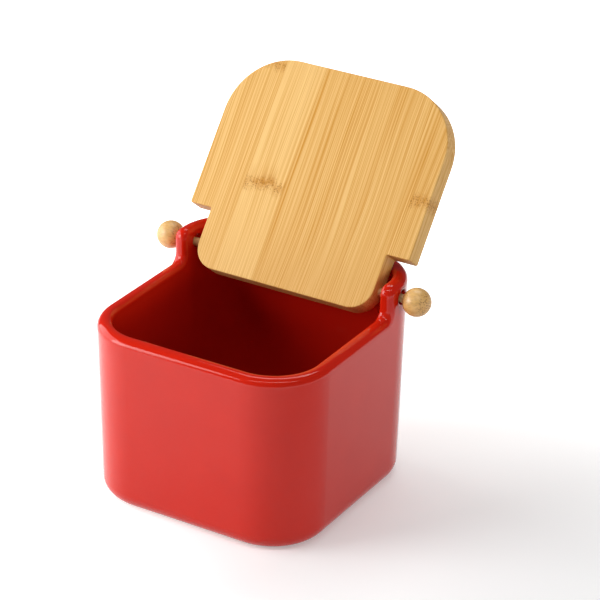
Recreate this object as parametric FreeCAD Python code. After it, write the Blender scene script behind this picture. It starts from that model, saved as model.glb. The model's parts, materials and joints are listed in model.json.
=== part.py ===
import FreeCAD, Part
import math
import os

# Salt canister: a glazed ceramic box, open at the top, with a bamboo lid that turns on a dowel.
# Millimetres. X runs from left to right, Y from front to back and Z up.
# The origin is the middle of the foot. The lid is modelled closed, then turned back to where it rests.

# Ceramic body, with its plan sizes taken at the low rim
body_width = 110.0
body_depth = 108.0
low_rim_height = 81.7
front_corner_radius = 27.0
rear_corner_radius = 24.5
wall = 6.7
draft_angle = 1.15
floor_thickness = 6.0
foot_edge_radius = 7.3
cavity_floor_radius = 9.0
foot_ring_width = 5.0
foot_recess_depth = 1.2
foot_recess_radius = 0.8

# Rounded rim, and the ears where it rises at the back
rim_inner_radius = 2.4
rim_flat = 0.7
ear_reach = 9.2
ear_foot_radius = 3.8
ear_top_ease = 1.0

# Axle dowel, its loose holes in the ears and the balls on its ends
axle_from_back = 22.0
dowel_diameter = 3.6
ear_hole_play = 2.8
ear_hole_mouth_radius = 0.7
dowel_rest_gap = 0.8
ball_diameter = 12.5
ball_side_gap = 0.75
ball_bore_depth = 8.5
glue_gap = 0.05

# Lid, glued up from bamboo strips
lid_thickness = 9.6
lid_front_overhang = 2.2
lid_corner_radius = 28.4
lid_edge_radius = 0.5
lid_shoulder_radius = 0.9
lid_notch_radius = 0.8
shoulder_gap = 6.1
tail_side_gap = 4.2
tail_back_gap = 4.3
tail_corner_radius = 10.5
axle_above_middle = 1.2
closing_gap = 0.7
strip_width = 19.8
first_strip_width = 2.2

# How far the lid opens, and the gap to the raised rim that it leans on
open_angle = 128.7
stop_gap = 0.4

# How far cutting solids run past what they cut, and how close counts as on a surface
overrun = 20.0
surface_tolerance = 0.01

# Sizes that follow from those above
draft_slope = math.tan(math.radians(draft_angle))
rim_outer_radius = wall - rim_inner_radius - rim_flat
ear_top_radius = rim_outer_radius + ear_top_ease
axle_y = body_depth / 2 - axle_from_back
axle_above_underside = lid_thickness / 2 + axle_above_middle
axle_z = low_rim_height + closing_gap + axle_above_underside
axle_point = FreeCAD.Vector(0, axle_y, axle_z)
dowel_radius = dowel_diameter / 2
glued_bore_radius = dowel_radius + glue_gap
ear_hole_radius = dowel_radius + ear_hole_play / 2
ear_hole_z = axle_z - dowel_radius - dowel_rest_gap + ear_hole_radius
ball_radius = ball_diameter / 2
ball_x = body_width / 2 + ball_side_gap + ball_radius
ear_front_y = axle_y - ear_reach
lid_width = body_width
lid_top_z = axle_z - axle_above_underside + lid_thickness
lid_underside_z = axle_z - axle_above_underside
lid_front_y = -body_depth / 2 - lid_front_overhang
shoulder_reach = ear_reach + shoulder_gap
shoulder_y = axle_y - shoulder_reach
tail_width = body_width - 2 * (wall + tail_side_gap)
tail_end_y = body_depth / 2 - wall - tail_back_gap


def raised_rim_height():
    """Height of the rim behind the axle: the open lid's tail leans on its inner edge in the rear corners."""
    eased = lid_edge_radius * (1 - math.sqrt(1 / 2))
    inner_radius = rear_corner_radius - wall
    past_side = inner_radius - min(tail_side_gap + eased, inner_radius)
    lean_y = body_depth / 2 - rear_corner_radius + math.sqrt(inner_radius**2 - past_side**2)
    lean = math.radians(180 - open_angle)
    axle_to_edge = lid_thickness - axle_above_underside - eased
    lean_z = axle_z + (lean_y - axle_y) * math.tan(lean) - (axle_to_edge + stop_gap) / math.cos(lean)
    return lean_z + rim_inner_radius


high_rim_height = raised_rim_height()


def rounded_wire(corners):
    """Closed wire through corner points, each rounded by its own radius."""
    spans = []
    for index, (point, radius) in enumerate(corners):
        before = (corners[index - 1][0] - point).normalize()
        after = (corners[(index + 1) % len(corners)][0] - point).normalize()
        if radius == 0:
            spans.append((point, None, point))
            continue
        half_corner = before.getAngle(after) / 2
        inwards = (before + after).normalize()
        cut_back = radius / math.tan(half_corner)
        arc_middle = point + inwards * (radius / math.sin(half_corner) - radius)
        spans.append((point + before * cut_back, arc_middle, point + after * cut_back))
    edges = []
    for index, (start, middle, end) in enumerate(spans):
        last_end = spans[index - 1][2]
        if last_end.distanceToPoint(start) > surface_tolerance:
            edges.append(Part.makeLine(last_end, start))
        if middle is not None:
            edges.append(Part.Arc(start, middle, end).toShape())
    return Part.Wire(edges)


def plan_sizes(height, inset):
    """Half width, half depth, front and rear corner radius of the body's plan at a height, drawn in."""
    drawn_in = (low_rim_height - height) * draft_slope + inset
    half_width = body_width / 2 - drawn_in
    half_depth = body_depth / 2 - drawn_in
    return half_width, half_depth, front_corner_radius - drawn_in, rear_corner_radius - inset


def plan_wire(height, inset):
    """The body's rounded plan at a height."""
    half_width, half_depth, front_radius, rear_radius = plan_sizes(height, inset)
    corners = [
        (FreeCAD.Vector(-half_width, -half_depth, height), front_radius),
        (FreeCAD.Vector(half_width, -half_depth, height), front_radius),
        (FreeCAD.Vector(half_width, half_depth, height), rear_radius),
        (FreeCAD.Vector(-half_width, half_depth, height), rear_radius),
    ]
    return rounded_wire(corners)


def drafted_block(bottom, top, inset):
    """Solid with the body's drafted sides, drawn in by an inset."""
    return Part.makeLoft([plan_wire(bottom, inset), plan_wire(top, inset)], True, True)


def distance_outside_plan(point, inset):
    """Distance of a point outside the body's plan at its own height, negative inside it."""
    half_width, half_depth, front_radius, rear_radius = plan_sizes(point.z, inset)
    radius = rear_radius if point.y > 0 else front_radius
    past_x = abs(point.x) - half_width + radius
    past_y = abs(point.y) - half_depth + radius
    outside = math.hypot(max(past_x, 0), max(past_y, 0))
    return outside + min(max(past_x, past_y), 0) - radius


def edges_where(shape, test):
    """Edges of a shape whose points at the quarters all pass a test."""
    quarter_shares = (0.25, 0.5, 0.75)
    chosen = []
    for edge in shape.Edges:
        length = edge.LastParameter - edge.FirstParameter
        points = [edge.valueAt(edge.FirstParameter + share * length) for share in quarter_shares]
        if all(test(point) for point in points):
            chosen.append(edge)
    return chosen


def level_edges(shape, height):
    """Edges that lie level at a height."""
    return edges_where(shape, lambda point: abs(point.z - height) < surface_tolerance)


def rim_edges(shape, inset):
    """Edges of the rim, low and raised, on the body's walls drawn in by an inset."""
    def on_rim(point):
        above = point.z > low_rim_height - surface_tolerance
        return above and abs(distance_outside_plan(point, inset)) < surface_tolerance
    return edges_where(shape, on_rim)


def rim_cutter():
    """Everything above the rim's side profile: low at the front, rising in a curve to the ears."""
    front = -body_depth / 2 - overrun
    back = body_depth / 2 + overrun
    ceiling = high_rim_height + 2 * overrun
    profile = [
        (front, low_rim_height, 0),
        (ear_front_y, low_rim_height, ear_foot_radius),
        (ear_front_y, high_rim_height, ear_top_radius),
        (back, high_rim_height, 0),
        (back, ceiling, 0),
        (front, ceiling, 0),
    ]
    left = -body_width / 2 - overrun
    corners = [(FreeCAD.Vector(left, y, z), radius) for y, z, radius in profile]
    return Part.Face(rounded_wire(corners)).extrude(FreeCAD.Vector(-2 * left, 0, 0))


def cavity():
    """The hollow of the body, rounded where the walls meet the floor."""
    block = drafted_block(floor_thickness, high_rim_height + overrun, wall)
    return block.makeFillet(cavity_floor_radius, level_edges(block, floor_thickness))


def foot_recess():
    """Shallow hollow under the foot that leaves a ring to stand on."""
    inset = foot_edge_radius + foot_ring_width
    outline = plan_wire(0, inset)
    block = Part.Face(outline).extrude(FreeCAD.Vector(0, 0, foot_recess_depth))
    return block.makeFillet(foot_recess_radius, level_edges(block, foot_recess_depth))


def ear_hole():
    """Loose hole through both ears, set so that the dowel lies near its lowest point."""
    half_length = body_width / 2 + overrun
    start = FreeCAD.Vector(-half_length, axle_y, ear_hole_z)
    return Part.makeCylinder(ear_hole_radius, 2 * half_length, start, FreeCAD.Vector(1, 0, 0))


def ear_hole_mouths(shape):
    """Edges of the ear holes on the outside of the body."""
    def on_mouth(point):
        from_axis = math.hypot(point.y - axle_y, point.z - ear_hole_z)
        outer_side = abs(point.x) > body_width / 2 - wall / 2
        return outer_side and abs(from_axis - ear_hole_radius) < surface_tolerance
    return edges_where(shape, on_mouth)


def canister_body():
    """One piece of ceramic: drafted walls, rounded foot, low rim at the front, ears and high rim behind."""
    block = drafted_block(0, high_rim_height + overrun, 0)
    block = block.makeFillet(foot_edge_radius, level_edges(block, 0))
    shell = block.cut(rim_cutter()).cut(cavity())
    shell = shell.makeFillet(rim_outer_radius, rim_edges(shell, 0))
    shell = shell.makeFillet(rim_inner_radius, rim_edges(shell, wall))
    pierced = shell.cut(ear_hole())
    pierced = pierced.makeFillet(ear_hole_mouth_radius, ear_hole_mouths(pierced))
    return pierced.cut(foot_recess())


def lid_outline():
    """The lid's plan, closed: wide over the box, narrow between the ears."""
    right_half = [
        (lid_width / 2, lid_front_y, lid_corner_radius),
        (lid_width / 2, shoulder_y, lid_shoulder_radius),
        (tail_width / 2, shoulder_y, lid_notch_radius),
        (tail_width / 2, tail_end_y, tail_corner_radius),
    ]
    left_half = [(-x, y, radius) for x, y, radius in reversed(right_half)]
    corners = [(FreeCAD.Vector(x, y, lid_underside_z), radius) for x, y, radius in right_half + left_half]
    return rounded_wire(corners)


def lid_board():
    """The whole lid, closed, with eased edges and the bore for the dowel."""
    board = Part.Face(lid_outline()).extrude(FreeCAD.Vector(0, 0, lid_thickness))
    face_edges = level_edges(board, lid_underside_z) + level_edges(board, lid_top_z)
    board = board.makeFillet(lid_edge_radius, face_edges)
    half_length = tail_width / 2 + overrun
    start = FreeCAD.Vector(-half_length, axle_y, axle_z)
    bore = Part.makeCylinder(glued_bore_radius, 2 * half_length, start, FreeCAD.Vector(1, 0, 0))
    return board.cut(bore)


def lid_strips():
    """The lid's strips, from left to right: equal bamboo strips that the outline cuts down at both sides."""
    board = lid_board()
    depth = tail_end_y - lid_front_y + 2 * overrun
    height = lid_thickness + 2 * overrun
    left = -lid_width / 2 + first_strip_width - strip_width
    strips = []
    while left < lid_width / 2:
        corner = FreeCAD.Vector(left, lid_front_y - overrun, lid_underside_z - overrun)
        strips.append(board.common(Part.makeBox(strip_width, depth, height, corner)))
        left += strip_width
    return strips


def axle_dowel():
    """The dowel through the lid's bore and the ears, ending inside both balls."""
    bore_end = ball_x - ball_radius + ball_bore_depth
    half_length = bore_end - glue_gap
    start = FreeCAD.Vector(-half_length, axle_y, axle_z)
    return Part.makeCylinder(dowel_radius, 2 * half_length, start, FreeCAD.Vector(1, 0, 0))


def ball(side):
    """A turned ball with a blind bore for the dowel, on the left (-1) or right (1)."""
    centre = FreeCAD.Vector(side * ball_x, axle_y, axle_z)
    outwards = FreeCAD.Vector(side, 0, 0)
    sphere = Part.makeSphere(ball_radius, centre, outwards)
    mouth = centre - outwards * (ball_radius + overrun)
    bore = Part.makeCylinder(glued_bore_radius, overrun + ball_bore_depth, mouth, outwards)
    return sphere.cut(bore)


def opened(shape):
    """A piece of the closed lid, turned back about the dowel to where it rests open."""
    turned = shape.copy()
    turned.rotate(axle_point, FreeCAD.Vector(1, 0, 0), -open_angle)
    return turned


def all_nodes():
    """Every piece by its name, in its place at rest."""
    nodes = {"canister_body": canister_body()}
    for number, strip in enumerate(lid_strips(), start=1):
        nodes[f"lid_strip_{number}"] = opened(strip)
    nodes["axle_dowel"] = opened(axle_dowel())
    nodes["left_ball"] = opened(ball(-1))
    nodes["right_ball"] = opened(ball(1))
    return nodes


os.makedirs("parts", exist_ok=True)
for name, shape in all_nodes().items():
    shape.exportStep(f"parts/{name}.step")
    print(name, "solids", len(shape.Solids), "valid", shape.isValid(), "volume", round(shape.Volume))
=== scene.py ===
import json
import math

import bpy
from mathutils import Matrix, Vector

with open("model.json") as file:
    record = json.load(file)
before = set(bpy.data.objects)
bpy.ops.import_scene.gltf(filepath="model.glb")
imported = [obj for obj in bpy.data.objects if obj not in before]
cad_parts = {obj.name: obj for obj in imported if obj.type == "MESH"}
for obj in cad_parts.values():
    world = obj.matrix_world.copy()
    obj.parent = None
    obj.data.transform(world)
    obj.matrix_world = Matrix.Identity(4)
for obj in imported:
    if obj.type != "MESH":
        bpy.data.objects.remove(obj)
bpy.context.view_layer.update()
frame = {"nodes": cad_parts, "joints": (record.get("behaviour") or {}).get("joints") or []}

# Camera, at the angle from which the canister is seen: degrees, metres and millimetres of lens
VIEW_AZIMUTH = 30.928
VIEW_ELEVATION = 26.459
VIEW_ROLL = 0.823
VIEW_DISTANCE = 1.19567
VIEW_TARGET = (0.023867, 0.0, 0.092591)
LENS = 171.83
SENSOR = 36.0

# Soft boxes: azimuth, elevation, distance, width, height, radiance, and whether glossy surfaces show them
SOFTBOXES = {
    "key": (-72, 21, 0.8, 1.12, 0.57, 3.1, True),
    "key_core": (-44, 20, 0.77, 0.42, 0.36, 6.1, True),
    "overhead": (30, 62, 1.2, 1.4, 0.10, 8.2, True),
    "fill": (86, 10, 1.2, 1.8, 0.66, 1.60, False),
    "back": (200, 62, 1.2, 0.8, 0.35, 4.8, True),
}
SOFTBOX_TARGET = Vector((0.0, 0.0, 0.06))
WORLD_STRENGTH = 0.12

# Floor: half its width, its colour, and its glow, which rises away from a point beside the canister; the
# dimmer glow near that point is a painted shadow, also seen in the glaze
FLOOR_SIZE = 6.0
FLOOR_COLOUR = (0.8, 0.8, 0.8)
FLOOR_GLOW = (0.25, 0.95)
FLOOR_PAINTED_SHADOW_REACH = (0.05, 0.30)
FLOOR_PAINTED_SHADOW_CENTRE = (0.13, -0.03, 0.0)

# Hinge of the lid, and the slope at which the open lid rises from its hinge
HINGE = frame["joints"][0]
AXLE = Vector(HINGE["pos_m"])
LID_SLOPE = math.pi - math.radians(HINGE["range_deg"][1])

# Glaze, with a darker colour painted inside as shade, the centre of the walls' corners in millimetres, and
# the height up to which the foot is bare
GLAZE_DEEP = (0.53, 0.011, 0.003)
GLAZE_LIGHT = (0.63, 0.016, 0.004)
GLAZE_PAINTED_INNER_SHADE = (0.36, 0.006, 0.003)
GLAZE_IOR = 1.37
BARE_CLAY = (0.70, 0.58, 0.45)
BARE_GRIT = (0.60, 0.46, 0.33)
CORNER_CENTRE = (28.0, 27.5, 1000.0)
BARE_HEIGHT = 0.3

# Bamboo
BAMBOO_PALE = (0.84, 0.545, 0.203)
BAMBOO_DARK = (0.57, 0.247, 0.022)
BAMBOO_END = (0.42, 0.22, 0.075)
KNUCKLE_BROWN = (0.52, 0.22, 0.022)
KNUCKLE_SPECK = (0.34, 0.125, 0.012)

# Strips, in millimetres from the axle: knuckles by level, reach and seed, streaks by middle and half width
STRIP_LOOKS = {
    "lid_strip_1": {"shade": 0.06, "knuckle": None,
                    "streaks": [], "seams": [-52.8]},
    "lid_strip_2": {"shade": 0.03, "knuckle": (84.8, 1.0, 122.0),
                    "streaks": [(-45.0, 0.7), (-33.4, 0.5)], "seams": [-52.8, -33.0]},
    "lid_strip_3": {"shade": -0.12, "knuckle": (31.2, 1.9, 183.0),
                    "streaks": [(-25.0, 0.5)], "seams": [-33.0, -13.2]},
    "lid_strip_4": {"shade": 0.12, "knuckle": None,
                    "streaks": [(-11.6, 1.6), (-1.0, 0.6)], "seams": [-13.2, 6.6]},
    "lid_strip_5": {"shade": 0.10, "knuckle": None,
                    "streaks": [(8.0, 1.1), (24.6, 1.5)], "seams": [6.6, 26.4]},
    "lid_strip_6": {"shade": 0.09, "knuckle": None,
                    "streaks": [(28.4, 0.8), (41.0, 0.6)], "seams": [26.4, 46.2]},
    "lid_strip_7": {"shade": 0.07, "knuckle": (40.6, 1.0, 440.0),
                    "streaks": [(51.0, 1.3)], "seams": [46.2]},
}

# Turned balls and dowel
BALL_PALE = (0.80, 0.49, 0.170)
BALL_DARK = (0.62, 0.33, 0.085)
BALL_PORE = (0.32, 0.13, 0.03)
BALL_SEEDS = {"left_ball": 40.0, "right_ball": 90.0}
DOWEL_PALE = (0.84, 0.60, 0.30)
DOWEL_DARK = (0.64, 0.40, 0.16)


class Graph:
    """A node material. Each method adds a node, fed with values or sockets, and returns its output."""

    def __init__(self, name):
        self.material = bpy.data.materials.new(name)
        self.material.use_nodes = True
        self.nodes = self.material.node_tree.nodes
        self.links = self.material.node_tree.links
        self.shader = self.nodes["Principled BSDF"]

    def feed(self, socket, value):
        """Links a socket, or sets a value or colour."""
        if isinstance(value, bpy.types.NodeSocket):
            self.links.new(value, socket)
        elif socket.type == "RGBA":
            socket.default_value = (*value, 1.0)
        else:
            socket.default_value = value

    def add(self, kind, inputs, output=0, **settings):
        node = self.nodes.new(kind)
        for name, value in settings.items():
            setattr(node, name, value)
        for name, value in inputs.items():
            self.feed(node.inputs[name], value)
        return node.outputs[output]

    def math(self, operation, first, second=0.0):
        return self.add("ShaderNodeMath", {0: first, 1: second}, operation=operation)

    def total(self, *shares):
        """Weighted sum of (value, weight) pairs, held between 0 and 1."""
        result = 0.0
        for value, weight in shares:
            inputs = {0: value, 1: weight, 2: result}
            result = self.add("ShaderNodeMath", inputs, operation="MULTIPLY_ADD")
        return self.add("ShaderNodeClamp", {"Value": result})

    def vector(self, operation, first, second=(0.0, 0.0, 0.0)):
        return self.add("ShaderNodeVectorMath", {0: first, 1: second}, operation=operation)

    def measure(self, operation, first, second=(0.0, 0.0, 0.0)):
        """A vector's length, or the distance between two places."""
        return self.add("ShaderNodeVectorMath", {0: first, 1: second}, output="Value", operation=operation)

    def parts(self, vector):
        """The three parts of a vector."""
        first = self.add("ShaderNodeSeparateXYZ", {"Vector": vector})
        return tuple(first.node.outputs)

    def ramp(self, value, start, end, low=0.0, high=1.0):
        """Smooth step from low at the start to high at the end."""
        inputs = {"Value": value, "From Min": start, "From Max": end, "To Min": low, "To Max": high}
        return self.add("ShaderNodeMapRange", inputs, interpolation_type="SMOOTHSTEP")

    def noise(self, place, pitch, detail=2.0, roughness=0.5):
        """Noise between 0 and 1, with its own number of waves per millimetre in each direction."""
        waves = self.vector("MULTIPLY", place, pitch)
        inputs = {"Vector": waves, "Scale": 1.0, "Detail": detail, "Roughness": roughness}
        return self.add("ShaderNodeTexNoise", inputs)

    def specks(self, place, pitch, size):
        """Round specks, one in each cell, of a size counted in cells."""
        inputs = {"Vector": self.vector("MULTIPLY", place, pitch), "Scale": 1.0}
        return self.ramp(self.add("ShaderNodeTexVoronoi", inputs), size, size * 0.5)

    def stripe(self, value, middle, half_width):
        """1 at the middle, fading to 0 at the half width."""
        away = self.math("ABSOLUTE", self.math("SUBTRACT", value, middle))
        return self.ramp(away, half_width, 0.0)

    def blend(self, share, first, second):
        """Goes from the first colour to the second."""
        return self.add("ShaderNodeMix", {0: share, 6: first, 7: second}, output=2, data_type="RGBA")

    def finish(self, colour, roughness, height, depth):
        """Feeds the shader with a colour, a roughness and a relief of the given depth in millimetres."""
        bump = {"Height": height, "Distance": depth * 0.001, "Strength": 1.0}
        self.feed(self.shader.inputs["Base Color"], colour)
        self.feed(self.shader.inputs["Roughness"], roughness)
        self.feed(self.shader.inputs["Normal"], self.add("ShaderNodeBump", bump))
        return self.material


def millimetres(graph, origin):
    """Place on the object, in millimetres from a point."""
    place = graph.add("ShaderNodeTexCoord", {}, output="Object")
    return graph.vector("MULTIPLY", graph.vector("SUBTRACT", place, origin), (1000.0, 1000.0, 1000.0))


def along_lid(graph, vector):
    """Turns a vector into the open lid's own directions: across, towards its front edge and through it."""
    inputs = {"Vector": vector, "Angle": -LID_SLOPE}
    return graph.add("ShaderNodeVectorRotate", inputs, rotation_type="X_AXIS")


def inside_box(graph, place):
    """1 within the walls and on the inner floor, 0 on the outside: where shade is painted on the glaze."""
    height = graph.parts(place)[2]
    beyond = graph.vector("SUBTRACT", graph.vector("ABSOLUTE", place), CORNER_CENTRE)
    aside = graph.measure("LENGTH", graph.vector("MAXIMUM", beyond))
    return graph.math("MULTIPLY", graph.ramp(aside, 23.5, 21.5), graph.ramp(height, 5.0, 6.5))


def red_glaze():
    """Glossy red glaze, a little cloudy and uneven, with painted shade darkening the inside from just under
    the rim downwards, and wiped off the ring under the foot.
    """
    graph = Graph("red_glaze")
    place = millimetres(graph, (0.0, 0.0, 0.0))
    height = graph.parts(place)[2]
    clouds = graph.noise(place, (0.045, 0.045, 0.045), detail=4.0)
    mottle = graph.noise(place, (0.9, 0.9, 0.9), detail=2.0)
    glaze = graph.blend(graph.total((clouds, 0.8), (mottle, 0.2)), GLAZE_DEEP, GLAZE_LIGHT)
    # Painted shade: the inner walls and floor get darker below the rim, standing in for the shade in the
    # cavity.
    painted_inner_shade = graph.math("MULTIPLY", inside_box(graph, place), graph.ramp(height, 81.0, 66.0))
    glaze = graph.blend(graph.total((painted_inner_shade, 0.6)), glaze, GLAZE_PAINTED_INNER_SHADE)
    grit = graph.noise(place, (2.5, 2.5, 2.5), detail=3.0)
    edge = graph.add("ShaderNodeMath", {0: clouds, 1: 0.3, 2: height}, operation="MULTIPLY_ADD")
    bare = graph.ramp(edge, BARE_HEIGHT + 0.25, BARE_HEIGHT + 0.1)
    colour = graph.blend(bare, glaze, graph.blend(grit, BARE_CLAY, BARE_GRIT))
    polish = graph.ramp(clouds, 0.3, 0.7, 0.05, 0.08)
    roughness = graph.add("ShaderNodeMix", {0: bare, 2: polish, 3: 0.85})
    waves = graph.noise(place, (0.16, 0.16, 0.16), detail=1.0)
    ripple = graph.noise(place, (0.7, 0.7, 0.7), detail=1.0)
    relief = graph.total((waves, 0.6), (ripple, 0.05), (graph.math("MULTIPLY", grit, bare), 0.5))
    graph.feed(graph.shader.inputs["IOR"], GLAZE_IOR)
    return graph.finish(colour, roughness, relief, 0.02)


def knuckle_marks(graph, place, level, reach, seed):
    """Shade and specks of a knuckle: a ragged band across the strip with a fan of streaks above it."""
    place = graph.vector("ADD", place, (seed, 0.0, 0.0))
    ragged = graph.noise(place, (0.20, 0.0, 0.2), detail=3.0, roughness=0.6)
    middle = graph.ramp(ragged, 0.25, 0.75, level - reach, level + reach)
    rise = graph.math("SUBTRACT", graph.parts(place)[1], middle)
    patches = graph.ramp(graph.noise(place, (0.30, 0.25, 0.3), detail=2.0), 0.30, 0.58, 0.35, 1.0)
    band = graph.math("MULTIPLY", graph.stripe(rise, 0.0, 4.6), patches)
    above = graph.math("MULTIPLY", graph.ramp(rise, -0.8, 0.8), graph.ramp(rise, 11.0, 0.5))
    streaks = graph.ramp(graph.noise(place, (0.45, 0.03, 0.4), detail=2.0), 0.45, 0.68)
    shade = graph.total((band, 0.55), (graph.math("MULTIPLY", streaks, above), 0.55))
    tufts = graph.ramp(graph.noise(place, (0.26, 0.0, 0.2), detail=1.0), 0.34, 0.50, 0.45, 1.0)
    dots = graph.math("MULTIPLY", graph.specks(place, (1.25, 1.05, 1.15), 0.46), tufts)
    return shade, graph.math("MULTIPLY", dots, graph.stripe(rise, 0.2, 5.2))


def end_grain(graph, place, colour):
    """Darkens the faces that cut the fibres across, and specks them with bundles."""
    normal = along_lid(graph, graph.add("ShaderNodeTexCoord", {}, output="Normal"))
    cut = graph.ramp(graph.math("ABSOLUTE", graph.parts(normal)[1]), 0.60, 0.95)
    bundles = graph.total((graph.specks(place, (1.5, 0.02, 1.3), 0.45), 0.6))
    colour = graph.blend(graph.total((cut, 0.45)), colour, BAMBOO_END)
    return graph.blend(graph.math("MULTIPLY", cut, bundles), colour, KNUCKLE_SPECK)


def bamboo(name, look):
    """One strip of the lid: fine straight fibres, darker lines and seams, end grain and a knuckle."""
    graph = Graph(f"bamboo_{name[-1]}")
    place = along_lid(graph, millimetres(graph, AXLE))
    seed = 61.0 * int(name[-1])
    sway = graph.noise(place, (0.03, 0.010, 0.03), detail=1.0)
    wander = graph.add("ShaderNodeCombineXYZ", {"X": graph.ramp(sway, 0.2, 0.8, seed - 1.0, seed + 1.0)})
    grain = graph.vector("ADD", place, wander)
    fibres = graph.ramp(graph.noise(grain, (2.4, 0.010, 2.0), detail=1.0), 0.32, 0.68)
    threads = graph.ramp(graph.noise(grain, (1.5, 0.006, 1.2), detail=1.0), 0.30, 0.70)
    lines = graph.ramp(graph.noise(grain, (2.0, 0.004, 1.5), detail=1.0), 0.62, 0.74)
    bands = graph.ramp(graph.noise(grain, (0.15, 0.006, 0.12), detail=1.0), 0.25, 0.75)
    shares = [(fibres, 0.55), (threads, 0.15), (lines, 0.38), (bands, 0.07), (1.0, look["shade"])]
    swayed = graph.math("SUBTRACT", graph.parts(grain)[0], seed)
    for middle, half_width in look["streaks"]:
        shares.append((graph.stripe(swayed, middle, half_width), 0.14))
    for seam in look["seams"]:
        shares.append((graph.stripe(graph.parts(place)[0], seam, 0.16), 0.5))
    colour = graph.blend(graph.total(*shares), BAMBOO_PALE, BAMBOO_DARK)
    colour = end_grain(graph, grain, colour)
    height = graph.total((fibres, 0.5), (lines, -0.3), (1.0, 0.5))
    if look["knuckle"] is not None:
        shade, dots = knuckle_marks(graph, place, *look["knuckle"])
        colour = graph.blend(shade, colour, KNUCKLE_BROWN)
        colour = graph.blend(graph.total((dots, 0.85)), colour, KNUCKLE_SPECK)
        height = graph.total((height, 0.7), (dots, -0.02), (1.0, 0.2))
    graph.feed(graph.shader.inputs["Specular IOR Level"], 0.25)
    return graph.finish(colour, graph.ramp(fibres, 0.0, 1.0, 0.46, 0.60), height, 0.05)


def centre_of(name):
    """Middle of a node's box."""
    places = [vertex.co for vertex in frame["nodes"][name].data.vertices]
    return [(min(p[i] for p in places) + max(p[i] for p in places)) / 2 for i in range(3)]


def turned_wood(name):
    """A ball: fibres along the dowel, soft growth bands, and open pores where the fibres are cut across."""
    graph = Graph(name)
    place = graph.vector("ADD", millimetres(graph, centre_of(name)), (0.0, BALL_SEEDS[name], 0.0))
    fibres = graph.ramp(graph.noise(place, (0.10, 1.9, 1.9), detail=2.0, roughness=0.6), 0.25, 0.75)
    bands = graph.ramp(graph.noise(place, (0.05, 0.20, 0.42), detail=2.0), 0.30, 0.70)
    pores = graph.specks(place, (0.5, 1.35, 1.35), 0.50)
    normal = graph.add("ShaderNodeTexCoord", {}, output="Normal")
    cut = graph.ramp(graph.math("ABSOLUTE", graph.parts(normal)[0]), 0.35, 0.85)
    shown = graph.math("MULTIPLY", pores, graph.ramp(cut, 0.0, 1.0, 0.20, 0.9))
    tone = graph.total((fibres, 0.30), (bands, 0.42), (cut, 0.22))
    colour = graph.blend(shown, graph.blend(tone, BALL_PALE, BALL_DARK), BALL_PORE)
    height = graph.total((fibres, 0.35), (shown, -0.6), (1.0, 0.6))
    graph.feed(graph.shader.inputs["Specular IOR Level"], 0.7)
    return graph.finish(colour, graph.ramp(tone, 0.0, 1.0, 0.34, 0.46), height, 0.04)


def dowel_wood():
    """Pale dowel with fibres along its length."""
    graph = Graph("dowel_wood")
    place = millimetres(graph, AXLE)
    fibres = graph.ramp(graph.noise(place, (0.05, 2.6, 2.6), detail=3.0, roughness=0.6), 0.25, 0.75)
    patches = graph.noise(place, (0.08, 0.4, 0.4), detail=2.0)
    tone = graph.total((fibres, 0.55), (patches, 0.4))
    colour = graph.blend(tone, DOWEL_PALE, DOWEL_DARK)
    return graph.finish(colour, graph.ramp(tone, 0.0, 1.0, 0.52, 0.66), fibres, 0.03)


def dress_node(name, material):
    """Gives a node its material."""
    data = frame["nodes"][name].data
    data.materials.clear()
    data.materials.append(material)


def dress_canister():
    dress_node("canister_body", red_glaze())


def dress_lid():
    for name, look in STRIP_LOOKS.items():
        dress_node(name, bamboo(name, look))
    for name in BALL_SEEDS:
        dress_node(name, turned_wood(name))
    dress_node("axle_dowel", dowel_wood())


def floor_paper():
    """Pale paper that takes the shadow, with a glow of its own that only what looks at it sees, dimmed near
    a point beside the canister as a painted shadow.
    """
    graph = Graph("floor_paper")
    graph.feed(graph.shader.inputs["Base Color"], FLOOR_COLOUR)
    graph.feed(graph.shader.inputs["Roughness"], 0.9)
    graph.feed(graph.shader.inputs["Emission Color"], (1.0, 1.0, 1.0))
    path = graph.add("ShaderNodeLightPath", {}).node.outputs
    rays = ("Is Camera Ray", "Is Glossy Ray", "Is Transmission Ray")
    looked_at = graph.total(*((path[ray], 1.0) for ray in rays))
    place = graph.add("ShaderNodeTexCoord", {}, output="Object")
    away = graph.measure("DISTANCE", place, FLOOR_PAINTED_SHADOW_CENTRE)
    # The glow is dimmed near a point beside the canister: a painted shadow on the floor, which the glaze
    # also reflects.
    glow = graph.math("MULTIPLY", looked_at, graph.ramp(away, *FLOOR_PAINTED_SHADOW_REACH, *FLOOR_GLOW))
    graph.feed(graph.shader.inputs["Emission Strength"], glow)
    return graph.material


def add_floor():
    """A wide pale floor, which is also the background."""
    size = FLOOR_SIZE
    corners = [(-size, -size, 0), (size, -size, 0), (size, size, 0), (-size, size, 0)]
    mesh = bpy.data.meshes.new("floor")
    mesh.from_pydata(corners, [], [(0, 1, 2, 3)])
    floor = bpy.data.objects.new("floor", mesh)
    bpy.context.scene.collection.objects.link(floor)
    mesh.materials.append(floor_paper())


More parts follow.
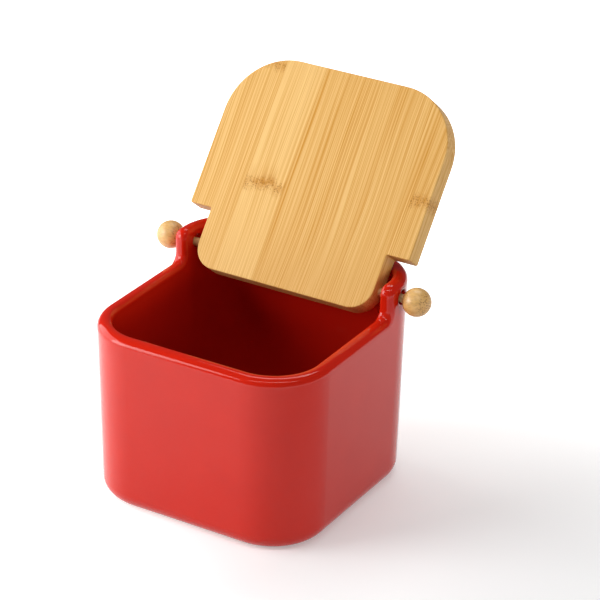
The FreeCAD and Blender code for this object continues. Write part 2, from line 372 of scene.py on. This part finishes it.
def direction(azimuth, elevation):
    """Unit vector towards an azimuth, counted from the front to the right, and an elevation, in degrees."""
    azimuth, elevation = math.radians(azimuth), math.radians(elevation)
    level = math.cos(elevation)
    return Vector((math.sin(azimuth) * level, -math.cos(azimuth) * level, math.sin(elevation)))


def add_softbox(name, azimuth, elevation, distance, width, height, radiance, glints):
    """A soft box that faces the middle of the canister."""
    data = bpy.data.lights.new(name, "AREA")
    data.shape = "RECTANGLE"
    data.size = width
    data.size_y = height
    data.energy = radiance * math.pi * width * height
    lamp = bpy.data.objects.new(name, data)
    towards = direction(azimuth, elevation)
    lamp.location = SOFTBOX_TARGET + towards * distance
    lamp.rotation_euler = (-towards).to_track_quat("-Z", "Y").to_euler()
    lamp.visible_glossy = glints
    bpy.context.scene.collection.objects.link(lamp)


def add_world():
    """Even white light from all round."""
    world = bpy.data.worlds.new("studio")
    world.use_nodes = True
    background = world.node_tree.nodes["Background"]
    background.inputs["Color"].default_value = (1.0, 1.0, 1.0, 1.0)
    background.inputs["Strength"].default_value = WORLD_STRENGTH
    bpy.context.scene.world = world


def add_lights():
    for name, values in SOFTBOXES.items():
        add_softbox(name, *values)
    add_world()


def add_camera():
    """The camera, turned about its target by azimuth and elevation, then rolled."""
    back = direction(VIEW_AZIMUTH, VIEW_ELEVATION)
    level = direction(VIEW_AZIMUTH + 90.0, 0.0)
    rise = back.cross(level)
    roll = math.radians(VIEW_ROLL)
    right = level * math.cos(roll) + rise * math.sin(roll)
    up = rise * math.cos(roll) - level * math.sin(roll)
    place = Vector(VIEW_TARGET) + back * VIEW_DISTANCE
    data = bpy.data.cameras.new("camera")
    data.lens = LENS
    data.sensor_width = SENSOR
    camera = bpy.data.objects.new("camera", data)
    camera.matrix_world = Matrix.Translation(place) @ Matrix((right, up, back)).transposed().to_4x4()
    bpy.context.scene.collection.objects.link(camera)
    bpy.context.scene.camera = camera


dress_canister()
dress_lid()
add_floor()
add_lights()
add_camera()
bpy.context.scene.view_settings.view_transform = "Standard"
